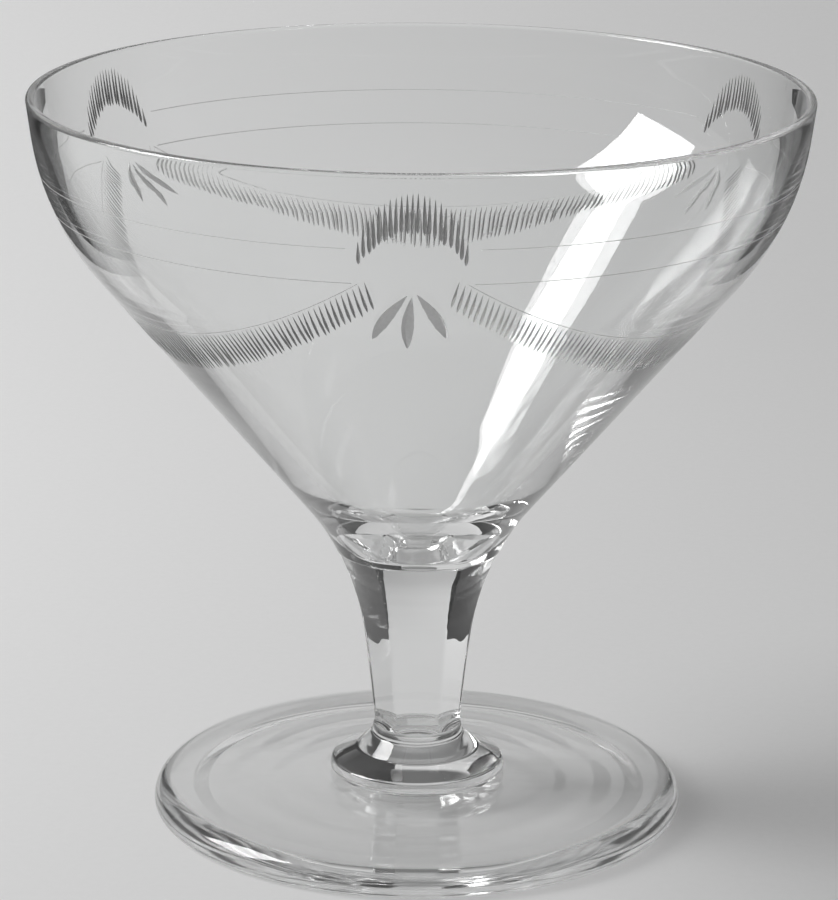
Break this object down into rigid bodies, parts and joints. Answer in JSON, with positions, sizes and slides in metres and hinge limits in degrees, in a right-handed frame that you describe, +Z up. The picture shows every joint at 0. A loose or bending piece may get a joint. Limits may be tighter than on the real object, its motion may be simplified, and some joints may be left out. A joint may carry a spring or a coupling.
{
  "type": "sherbet glass",
  "caption": "Footed clear glass with a wide conical bowl, straight rim wall, panel-cut flared stem, collar and round foot, for serving sherbet, ice cream or a drink.",
  "frame": {"origin": "on the glass's axis, in the plane it rests on", "axes": "+Z up along the glass's axis, -Y towards the picture's viewer with one flat panel of the stem facing it"},
  "size_m": [0.0958, 0.0958, 0.092],
  "materials": {
    "bowl_glass": "polished, colourless",
    "stem_glass": "polished, colourless, cut panels",
    "merese_glass": "fire polished, colourless",
    "foot_glass": "polished, colourless, lightly worn on top"
  },
  "bodies": {
    "root": {"bowl": "bowl_glass", "stem": "stem_glass", "merese": "merese_glass", "foot": "foot_glass"}
  },
  "joints": []
}
